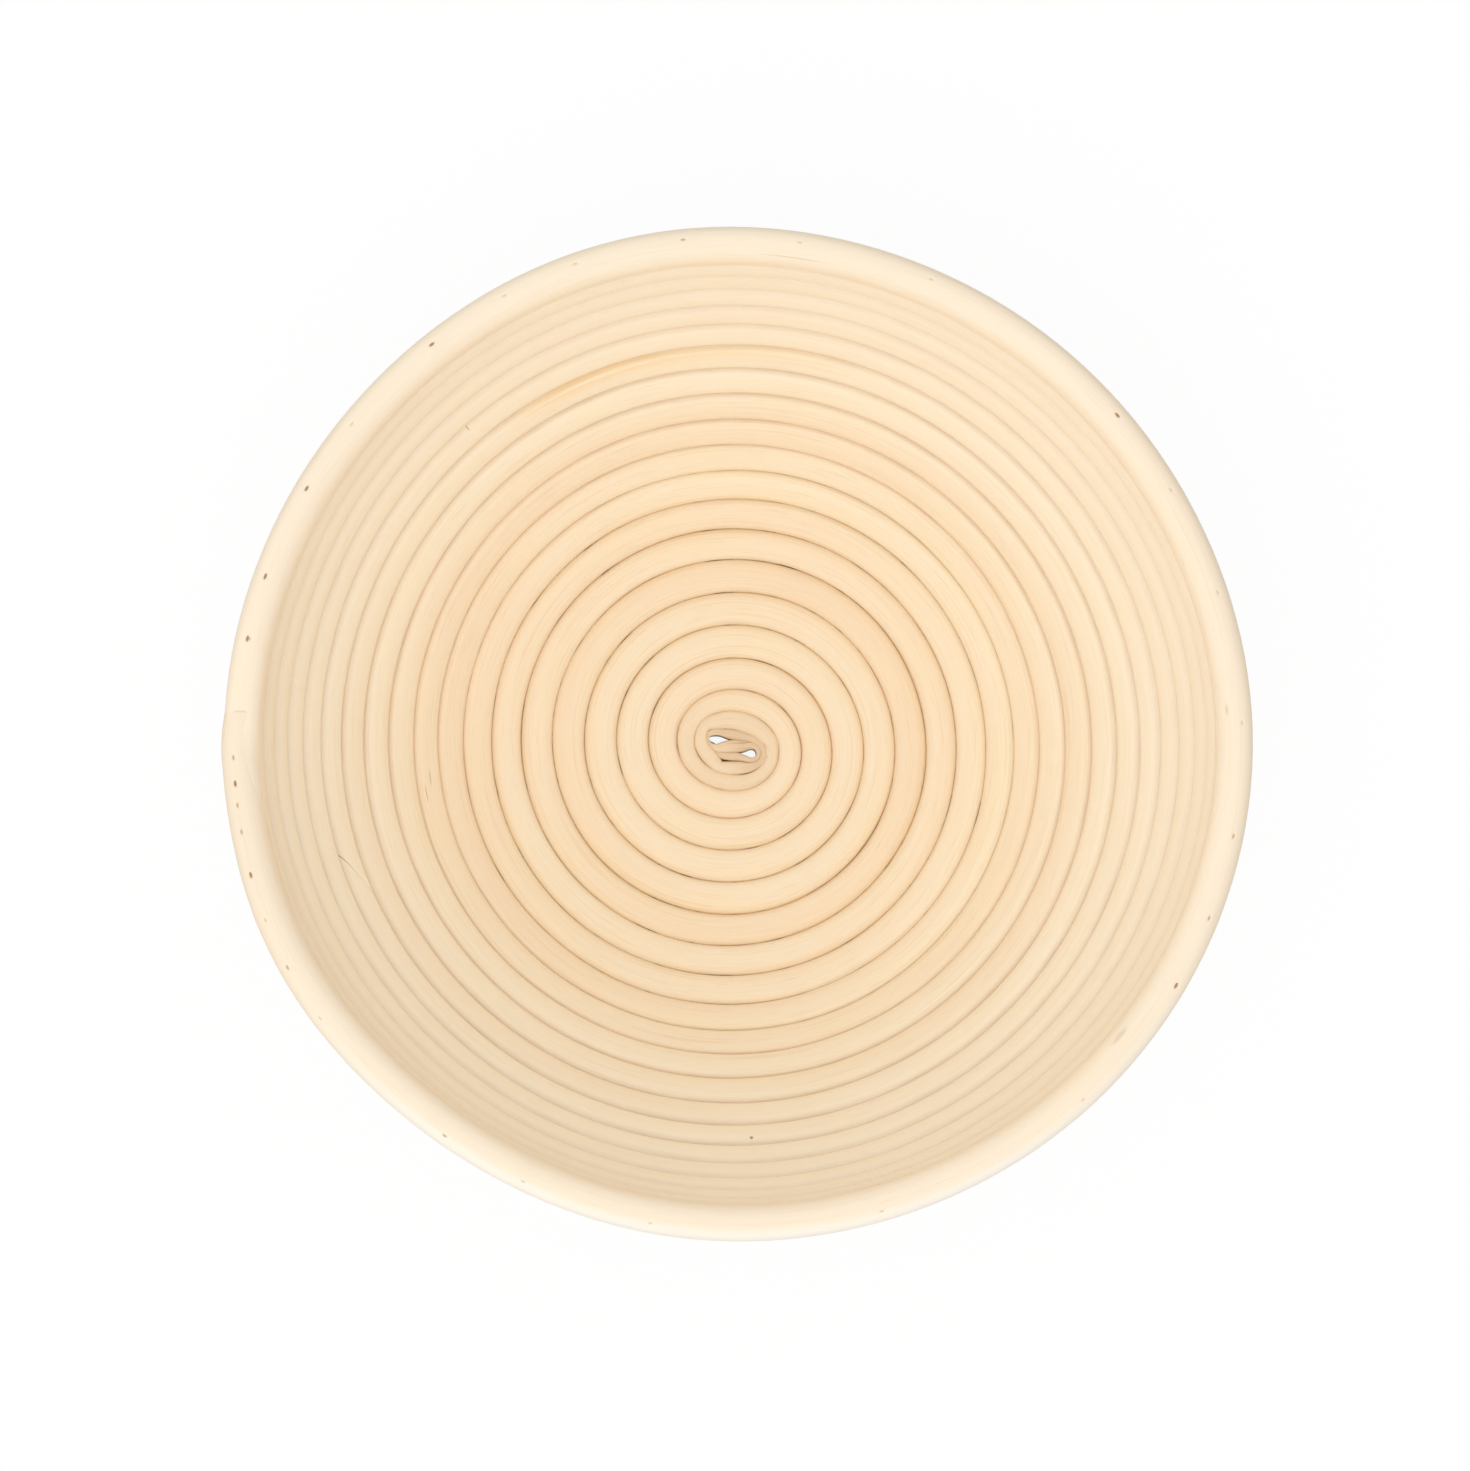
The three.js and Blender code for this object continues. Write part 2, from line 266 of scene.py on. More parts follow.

# Tints laid over the cream one after another, some of them painted light and shade: colour as it is seen,
# strength, and what the tint follows.
# A tint follows values of the cane, each with the numbers at which it begins and is full, or as it is.
CREAM = (250, 234, 206)
TINTS = {
    "deeper tone": ((248, 227, 197), 1.0, [("tone", 0.35, 0.65)]),
    "yellow patches": ((250, 231, 191), 0.35, [("patch", 0.45, 0.75)]),
    "fibres": ((232, 200, 158), 0.45, [("fibre", 0.5, 0.75)]),
    "pores": ((196, 154, 108), 0.16, [("pores", *PORE_SPAN)]),
    # Painted light: the wall turns are paler where the wall is more strongly lit.
    "painted light on the wall": ((253, 242, 221), 1.0, [("paleness",)]),
    # Painted shade: the top turn is toned down for the shading on its slopes.
    "rim": ((243, 219, 193), 0.25, [("turn", 20.42, 20.55)]),
    # Painted highlight: the lower outer edge of the rim is whitened where the strongest light falls on it.
    "painted highlight on the rim": (
        (254, 248, 236),
        0.75,
        [("turn", 21.05, 21.17), ("turn", 21.44, 21.34), ("inward", -0.6, -3.2)],
    ),
    # Painted shade: the floor turns are deepened for the weaker light on the floor than on the wall.
    "floor": ((236, 200, 156), 0.12, [("turn", 10, 7)]),
    # Partly the core's own browner colour, partly painted shade of its recessed strands.
    "core": ((205, 168, 126), 0.5, [("core",)]),
    "core streaks": ((160, 112, 70), 0.5, [("streak", 0.5, 0.7), ("core", 0.5, 1.0)]),
    "stain": (
        (246, 208, 142),
        0.6,
        [
            ("turn", 14.64, 14.68),
            ("turn", 14.85, 14.69),
            ("across", -1.6, 3.0),
            ("inward", *FACE_SPAN),
            ("blotch", 0.25, 0.6),
        ],
    ),
    "marks": ((140, 100, 66), 1.0, [("marks",)]),
    # Painted shade in the crevices where turns meet, widened up the wall into the shading across each cane.
    "painted shade between turns": ((168, 118, 72), 1.0, [("lines",)]),
    # Painted shade: darker patches in the crevices where the floor turns meet.
    "painted shade in the lines": (
        (112, 76, 46),
        0.8,
        [("dirt", 0.5, 0.66), ("edge", 0.955, 0.985), ("turn", 12, 8)],
    ),
    # Painted shade in the gaps between the strands of the core.
    "painted shade in the slits of the core": ((112, 76, 46), 0.5, [("edge", 0.9, 0.98), ("core", 0.5, 1.0)]),
    "pits": ((180, 146, 110), 1.0, [("pit", 0.1, 0.8)]),
}

# Changes by turn number: where each begins, where it is full, and by how much
# Painted light: paler wall turns stand in for stronger light on the wall; the second step takes part of it
# off the rim.
PAINTED_LIGHT = 0.0
PAINTED_LIGHT_STEPS = [(10, 18, 0.64), (20.2, 20.8, -0.26)]
# Strength of the painted shade where turns meet, by turn
LINE_DEPTH = 0.11
LINE_DEPTH_STEPS = [(8, 13, 0.11), (14, 20, -0.11)]

# Painted shade where turns meet: patchy in places on the floor, more even and wider up the wall, where it
# becomes the shading across each cane
PATCHY_SPAN = (0.38, 0.62)
EVEN_TURNS = (9, 13)
EVEN_SHARE = 0.65
LINE_TURNS = (9, 20)
LINE_STARTS = (0.945, 0.25)

# Surface of the cane
CANE_ROUGHNESS = 0.6
CANE_SHINE = 0.3
PORE_RELIEF = 0.5
BUMP_STRENGTH = 0.25
BUMP_DISTANCE = 0.0002

# Brad steel
STEEL = (136, 122, 106)
RUST = (116, 90, 66)
RUST_WAVES = 1800.0
RUST_DETAIL = 3.0
RUST_SPAN = (0.4, 0.65)
STEEL_ROUGHNESS_SPAN = (0.2, 1.2)
STEEL_METALLIC = 0.5

# White floor that keeps a faint shadow, in metres
FLOOR_SIZE = 6
FLOOR_AT = -0.0002
FLOOR_GREY = (0.5, 0.5, 0.5, 1)
SHADOW_SHARE = 0.08
WHITE = (1, 1, 1, 1)

# Soft light from all round, stronger from the lower left of the picture and dim low down at the right
SOFT_FROM = Vector((-0.45, -0.6, 0.66)).normalized()
SOFT_LEAST = 0.82
SOFT_MOST = 0.945
DIM_FROM = Vector((0.9, 0.42, 0)).normalized()
DIM_SHARE = 0.85
DIM_ASIDE = (0.2, 0.95)
DIM_LOW = (0.4, 0.05)

# Key light from the lower left of the picture, in metres
KEY_FROM = Vector((-0.3, -0.57, 1.45))
KEY_SIZE = 1.2
KEY_POWER = 4.6

# Camera, nearly straight above, with +Y up in the picture
CAMERA_FROM = Vector((-17, -34, 828)) * MM
CAMERA_AT = Vector((0.93, 2.25, 3.5)) * MM
CAMERA_LENS = 80.95
CAMERA_SENSOR = 36


# Shape of the bowl and the winding

def profile(along):
    """Radius, height and slope of the bowl at distances along its profile."""
    left = np.asarray(along, float)
    radius = np.zeros_like(left)
    height = np.zeros_like(left)
    slope = np.zeros_like(left)
    for length, bend in STRETCHES:
        run = np.clip(left, 0, length)
        after = slope + run * bend
        if bend == 0:
            radius = radius + run * np.cos(slope)
            height = height + run * np.sin(slope)
        else:
            radius = radius + (np.sin(after) - np.sin(slope)) / bend
            height = height + (np.cos(slope) - np.cos(after)) / bend
        slope = after
        left = left - run
    return radius, height, slope


def inner_line(turn):
    """Distance along the profile of the line between a turn and the one inside it."""
    thickening = FULL_FROM - PARED_END
    growing = np.clip(turn - PARED_END, 0, thickening)
    growth = (PITCH - PARED_PITCH) * growing ** 2 / (2 * thickening)
    pared = PARED_PITCH * (np.minimum(turn, FULL_FROM) - PARED_END)
    full = PITCH * np.maximum(0, turn - FULL_FROM)
    oval = CORE_OVAL * np.exp(-np.maximum(0, turn - PARED_END) / OVAL_FADE)
    return CORE_RADIUS + pared + growth + full + oval * np.cos(2 * (TURN * turn - math.radians(OVAL_AT)))


RIM_HEIGHT = float(profile(inner_line(LAST_TURN))[1])
TOP_HEIGHT = float(profile(inner_line(LAST_TURN + 1))[1])


def off_centre(x, y):
    """Points of the floor, moved with its middle, which lies a little off the centre of the rim."""
    share = np.maximum(0, 1 - (x * x + y * y) / CORE_REACH ** 2)
    return x + CORE_SHIFT[0] * share, y + CORE_SHIFT[1] * share


def swelling(turn, lobes):
    """How much wider the bowl is at a turn number, from one list of lobes."""
    return sum(size * np.cos(count * (TURN * turn - math.radians(at))) for count, size, at in lobes)


def bowl_points(turn, along, inward):
    """Points of the bowl: turn number, distance along the profile, and distance in from it."""
    radius, height, slope = profile(along)
    rise = np.clip(height / TOP_HEIGHT, 0, 1)
    near_edge = rise ** EDGE_CLOSENESS
    swell = swelling(turn, RIM_LOBES) * height / RIM_HEIGHT
    swell = swell + swelling(turn, WALL_LOBES) * (rise - near_edge) + swelling(turn, EDGE_LOBES) * near_edge
    radius = radius - inward * np.sin(slope) + swell
    height = FLOOR_HEIGHT + height + inward * np.cos(slope)
    x, y = off_centre(radius * np.cos(TURN * turn), -radius * np.sin(TURN * turn))
    return np.stack([x, y, height], axis=-1)


def turn_length(turn):
    """Length of one turn of cane."""
    return TURN * float(profile(inner_line(turn))[0])


def uneven(turn, phase):
    """Slow unevenness of the cane along its length, from -1 to 1."""
    fine = np.linspace(0, LAST_TURN, LENGTH_STEPS)
    length = np.cumsum(TURN * profile(inner_line(fine))[0]) * (fine[1] - fine[0])
    along = np.interp(turn, fine, length)
    return sum(np.sin(along / wave + phase * wave) for wave in UNEVEN_WAVES) / len(UNEVEN_WAVES)


def section(half, angles, squareness=SQUARENESS):
    """The cane's section: shares of half its width, and distances in from its middle."""
    bow_across = np.sign(np.cos(angles)) * np.abs(np.cos(angles)) ** (2 / squareness)
    bow_inward = np.abs(np.sin(angles)) ** (2 / squareness)
    cap = np.minimum(CANE_REACH, CAP_HEIGHT * half)
    inward = np.sign(np.sin(angles)) * (CANE_REACH - cap + cap * bow_inward)
    return bow_across + np.zeros_like(inward), inward


def even_angles():
    """Angles around the section, none of them on its widest line."""
    return (np.arange(SIDES) + 0.5) * TURN / SIDES


def rim_angles():
    """The same, closer together along the line of the nails."""
    shares = (PIT_SIDES / CANE_REACH) ** (RIM_SQUARENESS / 2)
    return np.sort(np.concatenate([even_angles(), TURN - np.arcsin(shares)]))


def pared_off(turn):
    """How much of the cane's width is pared off its upper face near the tip."""
    from_tip = np.maximum(0, LAST_TURN - turn) * turn_length(LAST_TURN)
    share = np.minimum(1, from_tip / RIM_TAPER)
    whole = inner_line(turn + 1) - inner_line(turn)
    return (whole - RIM_TIP) * (1 - share * share * (3 - 2 * share))


def tip_kick(turn):
    """How far the pared tip is bent outwards, from 0 to 1."""
    from_tip = np.maximum(0, LAST_TURN - turn) * turn_length(LAST_TURN)
    return np.maximum(0, 1 - from_tip / TIP_RUN) ** 2 * np.minimum(1, from_tip / TIP_ROUND)


def head_out(turn):
    """How far outside the middle of the cane a nail's head is."""
    places, distances = zip(*HEAD_OUT)
    return np.interp(turn, places, distances)


def grown(turns, degrees):
    """0 up to no turns, and 1 from a number of degrees on."""
    return np.clip(turns * (360 / degrees), 0, 1)


def pit_strength(number):
    """How deep and dark the pit over a nail is."""
    if number in DARK_NAILS:
        return DARK_PIT
    return CLEAR_PIT if number in CLEAR_NAILS else FAINT_PIT


def pits(turn, across, inward, nails):
    """How deep the pits over the nail heads are at places of the cane, from 0 to 1."""
    deepest = np.zeros_like(across)
    for number, _, head in nails:
        step = np.abs(turn - head) * turn_length(head) / (PIT_LENGTH / 2)
        side = np.abs(inward + head_out(head)) / (PIT_WIDTH / 2)
        opening = np.clip(PIT_BRIM - np.hypot(step, side), 0, 1) * (across > 0)
        deepest = np.maximum(deepest, pit_strength(number) * opening)
    return deepest


def wound(turns, angles, nails=()):
    """Sections of the winding at these turn numbers, as points and what the surface knows of them."""
    turn = np.asarray(turns)[:, None]
    below_rim = LAST_TURN - 1 - turn
    lower = inner_line(turn)
    half = (inner_line(turn + 1) - lower) / 2
    bare = grown(-below_rim, BARE_BLEND) * (np.cos(angles) > 0)
    across, inward = section(half, angles[None, :], SQUARENESS + (RIM_SQUARENESS - SQUARENESS) * bare)
    sunk = pared_off(turn)
    from_splice = np.abs(turn - SPLICE_TURN) * turn_length(SPLICE_TURN)
    slant = SPLICE_RUN / 2 * np.maximum(0, 1 - from_splice / SLANT_RUN)
    placed = turn + slant / turn_length(SPLICE_TURN) * across
    overlap = OVERLAP + UNEVENNESS * np.where(across > 0, uneven(turn, 1), uneven(turn, 2))
    pressed = np.where(across > 0, grown(below_rim, PRESS_BLEND), 1)
    overlap = overlap + RIM_OVERLAP * np.interp(turn, OVERLAP_TURNS, (0, 1)) * pressed
    along = lower + half + across * (half + overlap) - sunk
    bow = np.maximum(0, 1 - (np.abs(inward) / CANE_REACH) ** SQUARENESS) ** (1 / SQUARENESS)
    along = np.where(sunk > 0, np.maximum(along, lower - half * (1 - bow)), along)
    covered = grown(below_rim, COVER_BLEND)
    edge = np.minimum(1, np.where(across > 0, across * covered, -across) * (1 + overlap / half))
    pit = pits(turn, across, inward, nails)
    along = along - PIT_DEPTH * pit
    on_splice = (from_splice < SPLICE_LINE / 2) * np.clip(across - SPLICE_FROM, 0, 1)
    pit = np.maximum(pit, SPLICE_DARK * on_splice)
    kick = tip_kick(turn) * (TIP_OUT + TIP_NARROW * np.clip(inward / CANE_REACH, 0, 1))
    points = bowl_points(placed, along, inward - kick)
    return points, edge, across * half, inward, pit


def smooth_route(points, step):
    """A smooth open route through points, sampled at even steps."""
    points = np.asarray(points, float)
    ends = np.vstack([2 * points[0] - points[1], points, 2 * points[-1] - points[-2]])
    fine = []
    for place in range(1, len(ends) - 2):
        p0, p1, p2, p3 = ends[place - 1:place + 3]
        for share in np.linspace(0, 1, FOLD_PARTS, endpoint=False):
            straight = 2 * p1 + (p2 - p0) * share
            square = (2 * p0 - 5 * p1 + 4 * p2 - p3) * share ** 2
            cube = (3 * p1 - p0 - 3 * p2 + p3) * share ** 3
            fine.append(0.5 * (straight + square + cube))
    fine.append(points[-1])
    fine = np.array(fine)
    gone = np.concatenate([[0], np.cumsum(np.hypot(*np.diff(fine[:, :2], axis=0).T))])
    even = np.linspace(0, gone[-1], int(gone[-1] / step) + 1)
    return np.stack([np.interp(even, gone, fine[:, axis]) for axis in range(3)], axis=1)


def folded(angles):
    """Sections of the folded start, with the strand standing on edge."""
    joins = []
    for turn in (SPIRAL_START, SPIRAL_START + JOIN_STEP):
        lower = inner_line(turn)
        upper = inner_line(turn + 1)
        x, y, _ = bowl_points(turn, (lower + upper) / 2, 0)
        joins.append((x, y, upper - lower))
    strand = [(*off_centre(x, y), width) for x, y, width in FOLD_ROUTE]
    route = smooth_route(strand + joins, FOLD_STEP)
    end = np.argmin(np.hypot(route[:, 0] - joins[0][0], route[:, 1] - joins[0][1]))
    ahead = np.gradient(route[:, :2], axis=0)
    ahead /= np.linalg.norm(ahead, axis=1)[:, None]
    route, ahead = route[:end], ahead[:end]
    half = route[:, 2:] / 2
    across, inward = section(half, angles[None, :])
    share = np.linspace(0, 1, len(route))[:, None]
    drop = FOLD_DROP * np.clip((FOLD_DROP_TO - share) / FOLD_DROP_BLEND, 0, 1)
    outside = np.clip((share - FOLD_FOOT_FROM) / FOOT_BLEND, 0, 1)
    wedge = np.clip((share - WEDGE_FROM) / FOOT_BLEND, 0, 1)
    wedge = wedge * np.clip((WEDGE_TO - share) / FOOT_BLEND, 0, 1)
    reach = half + OVERLAP + outside * FOLD_FOOT * (inward < FOLD_FOOT_BELOW)
    reach = across * (reach + wedge * WEDGE_FOOT * (across < 0) * (inward < WEDGE_BELOW))
    points = np.empty(across.shape + (3,))
    points[..., 0] = route[:, :1] - ahead[:, 1:] * reach
    points[..., 1] = route[:, 1:2] + ahead[:, :1] * reach
    points[..., 2] = FLOOR_HEIGHT + inward - drop * (inward > 0)
    return points, np.abs(across), across * half, inward, np.zeros_like(across)


def joined(first, second):
    """Two runs of sections as one."""
    return tuple(np.concatenate([one, other]) for one, other in zip(first, second))


def grid(start, stop):
    """Turn numbers from start to stop at even steps, with one more close to each end."""
    even = np.linspace(start, stop, int((stop - start) * STEPS_PER_TURN) + 2)
    close = SPLICE_LINE / turn_length(SPLICE_TURN)
    return np.concatenate([[start, start + close], even[1:-1], [stop - close, stop]])


def rim_grid(start, stop, nails):
    """The same, with closer steps over the nails."""
    close = [head + step / turn_length(head) for _, _, head in nails for step in PIT_STEPS]
    close = np.array([turn for turn in close if start < turn < stop - TIP_CLEAR])
    plain = grid(start, stop)
    least = PIT_CLEAR / turn_length(LAST_TURN)
    clear = np.abs(plain[:, None] - close[None, :]).min(axis=1) > least
    clear[[0, -1]] = True
    return np.sort(np.concatenate([plain[clear], close]))


# Pieces

def placed_in_scene(name, data):
    """A new object of the scene."""
    made = bpy.data.objects.new(name, data)
    bpy.context.collection.objects.link(made)
    return made


def keep(mesh, name, values, ends):
    """Keeps a number or a vector at each point of a tube, and at the middles of its two ends."""
    kind, field = ("FLOAT_VECTOR", "vector") if values.ndim == 3 else ("FLOAT", "value")
    flat = np.concatenate([values.ravel(), np.ravel(ends)]).astype(np.float32)
    mesh.attributes.new(name, kind, "POINT").data.foreach_set(field, flat)


def cane(name, sections, turns, core):
    """A closed tube through sections, with bevelled flat ends, that keeps its grain for the material."""
    points, edge, side, inward, pit = (np.array(part) for part in sections)
    points[..., 2] = np.maximum(points[..., 2], 0)
    middles = points.mean(axis=1)
    along = np.concatenate([[0], np.cumsum(np.linalg.norm(np.diff(middles, axis=0), axis=1))])
    rings, sides = edge.shape
    for end in (0, -1):
        reach = points[end] - middles[end]
        size = np.linalg.norm(reach, axis=1)[:, None]
        points[end] = middles[end] + reach * np.maximum(END_LEAST, 1 - END_BEVEL / size)
    vertices = np.concatenate([points.reshape(-1, 3), middles[[0, -1]]]) * MM
    faces = []
    for ring in range(rings - 1):
        for place in range(sides):
            a = ring * sides + place
            b = ring * sides + (place + 1) % sides
            faces.append((a, b, b + sides, a + sides))
    wall = len(faces)
    first, last = rings * sides, rings * sides + 1
    for place in range(sides):
        after = (place + 1) % sides
        faces.append((after, place, first))
        faces.append(((rings - 1) * sides + place, (rings - 1) * sides + after, last))
    mesh = bpy.data.meshes.new(name)
    mesh.from_pydata(vertices.tolist(), [], faces)
    mesh.polygons.foreach_set("use_smooth", [number < wall for number in range(len(faces))])
    all_along, all_turns, all_core = (np.outer(ring, np.ones(sides)) for ring in (along, turns, core))
    keep(mesh, "grain", np.stack([side, inward, all_along], axis=-1), [(0, 0, along[0]), (0, 0, along[-1])])
    keep(mesh, "turn", all_turns, [turns[0], turns[-1]])
    keep(mesh, "edge", edge, [0, 0])
    keep(mesh, "pit", pit, [0, 0])
    keep(mesh, "core", all_core, [core[0], core[-1]])
    mesh.validate()
    return placed_in_scene(name, mesh)


def rim_nails():
    """Number of each rim nail, and the turns of its foot, where its solid stands, and of its leaning head."""
    found = []
    for number in range(1, RIM_NAILS + 1):
        low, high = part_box(f"rim_nail_{number:02d}")
        middle = (low + high) / 2
        turn = (-math.atan2(middle.y, middle.x) / TURN) % 1 + math.floor(LAST_TURN)
        turn = turn if turn < LAST_TURN else turn - 1
        head = turn + HEAD_SHIFT / 360 * math.cos(TURN * turn - math.radians(HEAD_SHIFT_AT))
        found.append((number, turn, head))
    return found


def brad(name, foot_turn, head_turn):
    """A T-headed brad with rounded edges, driven down through the rim."""
    shank = NAIL_SHANK / 2
    head = NAIL_HEAD / 2
    shoulder = NAIL_LENGTH - NAIL_HEAD_DEPTH
    half = [(0, 0), (shank, NAIL_POINT), (shank, shoulder), (head, shoulder), (head, NAIL_LENGTH)]
    outline = half + [(-x, y) for x, y in reversed(half[1:])]
    shape = bmesh.new()
    front = shape.faces.new([shape.verts.new((x, y, NAIL_THICKNESS / 2)) for x, y in outline])
    back = bmesh.ops.extrude_face_region(shape, geom=[front], use_keep_orig=True)["geom"]
    corners = [corner for corner in back if isinstance(corner, bmesh.types.BMVert)]
    bmesh.ops.translate(shape, vec=(0, 0, -NAIL_THICKNESS), verts=corners)
    bmesh.ops.recalc_face_normals(shape, faces=shape.faces)
    rounding = {"offset": NAIL_BEVEL, "segments": BEVEL_STEPS, "profile": BEVEL_ROUND}
    bmesh.ops.bevel(shape, geom=shape.edges, affect="EDGES", **rounding)
    fall = 1 - (1 - (head_out(head_turn) / CANE_REACH) ** RIM_SQUARENESS) ** (1 / RIM_SQUARENESS)
    top_line = float(inner_line(head_turn + 1) - pared_off(head_turn)) - fall * PITCH / 2
    foot_line = float(inner_line(foot_turn + 1) - pared_off(foot_turn)) - NAIL_SINK - NAIL_LENGTH
    top = Vector(bowl_points(head_turn, top_line, -head_out(head_turn) - TIP_OUT * tip_kick(head_turn)))
    up = (top - Vector(bowl_points(foot_turn, foot_line, -NAIL_OUT))).normalized()
    out = Vector((top.y, -top.x, 0)).cross(up).normalized()
    ahead = up.cross(out)
    place = Matrix((ahead, up, out)).transposed().to_4x4()
    place.translation = top - up * (NAIL_SINK + NAIL_LENGTH)
    shape.transform(Matrix.Scale(MM, 4) @ place)
    mesh = bpy.data.meshes.new(name)
    shape.to_mesh(mesh)
    shape.free()
    return placed_in_scene(name, mesh)


# Parts of materials and light

def emptied(owner):
    """The node tree of a material or of the world, without nodes."""
    owner.use_nodes = True
    owner.node_tree.nodes.clear()
    return owner.node_tree


def add(tree, kind, values=None, **settings):
    """A node with its settings and its inputs, which are numbers, colours or other nodes' outputs."""
    made = tree.nodes.new(kind)
    for key, value in settings.items():
        setattr(made, key, value)
    for socket, value in (values or {}).items():
        if isinstance(value, bpy.types.NodeSocket):
            tree.links.new(value, made.inputs[socket])
        else:
            made.inputs[socket].default_value = value
    return made


def calc(tree, operation, *values):
    """The result of a sum on numbers or outputs."""
    return add(tree, "ShaderNodeMath", dict(enumerate(values)), operation=operation).outputs[0]


def product(tree, first, *others):
    """Numbers or outputs, multiplied."""
    for other in others:
        first = calc(tree, "MULTIPLY", first, other)
    return first


def dot(tree, vector, direction):
    """How far a vector goes in a direction."""
    values = {0: vector, 1: direction}
    return add(tree, "ShaderNodeVectorMath", values, operation="DOT_PRODUCT").outputs["Value"]


def even_ramp(tree, value, span, results=(0.0, 1.0)):
    """A value, from its span to the results in even steps, and held at both ends."""
    values = {"Value": value}
    values.update({"From Min": span[0], "From Max": span[1]})
    values.update({"To Min": results[0], "To Max": results[1]})
    return add(tree, "ShaderNodeMapRange", values).outputs[0]


def ramp(tree, value, begins, full):
    """0 until a value reaches where it begins, and 1 from where it is full; full may be the smaller one."""
    if begins < full:
        values = {"Value": value, "From Min": begins, "From Max": full, "To Min": 0.0, "To Max": 1.0}
    else:
        values = {"Value": value, "From Min": full, "From Max": begins, "To Min": 1.0, "To Max": 0.0}
    return add(tree, "ShaderNodeMapRange", values, interpolation_type="SMOOTHSTEP").outputs[0]


def stepped(tree, value, least, steps):
    """A number that changes by each step, as a value goes from where the step begins to where it is full."""
    total = least
    for begins, full, change in steps:
        total = calc(tree, "MULTIPLY_ADD", ramp(tree, value, begins, full), change, total)
    return total


def blended(tree, factor, one, other):
    """One colour turned into another by a factor."""
    made = add(tree, "ShaderNodeMix", {"Factor": factor}, data_type="RGBA")
    for name, value in (("A", one), ("B", other)):
        target = [socket for socket in made.inputs if socket.name == name and socket.type == "RGBA"][0]
        if isinstance(value, bpy.types.NodeSocket):
            tree.links.new(value, target)
        else:
            target.default_value = value
    return [socket for socket in made.outputs if socket.type == "RGBA"][0]


def rgb(red, green, blue):
    """A colour as it is seen, 0 to 255, in the linear numbers that shaders use."""
    linear = []
    for part in (red, green, blue):
        share = part / 255
        linear.append(share / 12.92 if share <= 0.04045 else ((share + 0.055) / 1.055) ** 2.4)
    return (*linear, 1.0)


def new_material(name):
    """A material with only a surface shader, its node tree and that shader."""
    made = bpy.data.materials.new(name)
    tree = emptied(made)
    shader = add(tree, "ShaderNodeBsdfPrincipled")
    output = add(tree, "ShaderNodeOutputMaterial")
    tree.links.new(shader.outputs[0], output.inputs["Surface"])
    return made, tree, shader


def known(tree, name, output="Fac"):
    """A value that the mesh keeps at its points."""
    return add(tree, "ShaderNodeAttribute", attribute_name=name).outputs[output]


def noise(tree, place, stretch, detail, roughness):
    """Noise in the cane's own directions: across, in, and along it, in waves per millimetre."""
    scaled = add(tree, "ShaderNodeVectorMath", {0: place, 1: stretch}, operation="MULTIPLY").outputs[0]
    values = {"Vector": scaled, "Scale": 1.0, "Detail": detail, "Roughness": roughness}
    return add(tree, "ShaderNodeTexNoise", values).outputs["Fac"]


def darkest_mark(tree, turn, across, marks):
    """How dark the small marks make the cane, by turn and place across it."""
    darkest = 0.0
    for at, middle, length, width, strength in marks:
        ahead = calc(tree, "MULTIPLY", calc(tree, "SUBTRACT", turn, at), 2 * turn_length(at) / length)
        aside = calc(tree, "MULTIPLY", calc(tree, "SUBTRACT", across, middle), 2 / width)
        squares = calc(tree, "ADD", calc(tree, "POWER", ahead, 2.0), calc(tree, "POWER", aside, 2.0))
        darkness = calc(tree, "MULTIPLY", ramp(tree, calc(tree, "SQRT", squares), *MARK_FADE), strength)
        darkest = calc(tree, "MAXIMUM", darkest, darkness)
    return darkest


def painted_line_shade(tree, values):
    """Painted shade where turns meet: how brown the cane is made at the crevices, and across each cane up the
    wall.
    """
    turn = values["turn"]
    patchy = even_ramp(tree, values["line_patchiness"], PATCHY_SPAN)
    evened = calc(tree, "MULTIPLY", ramp(tree, turn, *EVEN_TURNS), EVEN_SHARE)
    patchy = calc(tree, "MULTIPLY_ADD", calc(tree, "SUBTRACT", 1.0, patchy), evened, patchy)
    starts = even_ramp(tree, turn, LINE_TURNS, LINE_STARTS)
    near = {"Value": values["edge"], "From Min": starts, "From Max": 1.0}
    near = add(tree, "ShaderNodeMapRange", near, interpolation_type="SMOOTHSTEP").outputs[0]
    return product(tree, near, patchy, stepped(tree, turn, LINE_DEPTH, LINE_DEPTH_STEPS))


def followed(tree, values, name, *span):
    """A value of the cane as it is, or how far it has come through a span."""
    return ramp(tree, values[name], *span) if span else values[name]


